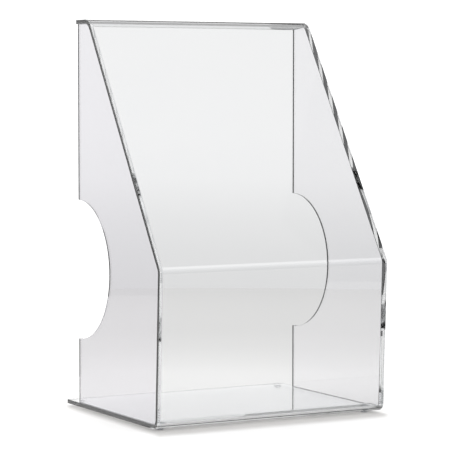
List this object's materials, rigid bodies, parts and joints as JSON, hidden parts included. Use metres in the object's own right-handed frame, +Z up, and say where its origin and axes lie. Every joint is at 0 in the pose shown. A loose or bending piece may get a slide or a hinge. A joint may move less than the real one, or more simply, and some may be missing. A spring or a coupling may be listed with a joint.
{
  "type": "magazine rack",
  "caption": "Clear acrylic table-top magazine rack: a line-bent sheet with a sloping front, open back, side panels with half-round hand cutouts, and bumper feet.",
  "frame": {"origin": "centre of the object's footprint box, on the plane that the four feet stand on", "axes": "+Z up, front towards -Y, open back towards +Y, +X to the right of a viewer who faces the front"},
  "size_m": [0.25, 0.2038, 0.3864],
  "materials": {
    "acrylic_sheet": "polished",
    "cement": "polished",
    "bumper": "gloss",
    "adhesive": "satin"
  },
  "bodies": {
    "root": {"wrap_sheet": "acrylic_sheet", "left_panel": "acrylic_sheet", "right_panel": "acrylic_sheet", "left_cement": "cement", "right_cement": "cement", "foot_front_left": "bumper", "foot_front_right": "bumper", "foot_back_left": "bumper", "foot_back_right": "bumper", "tape_front_left": "adhesive", "tape_front_right": "adhesive", "tape_back_left": "adhesive", "tape_back_right": "adhesive"}
  },
  "joints": []
}
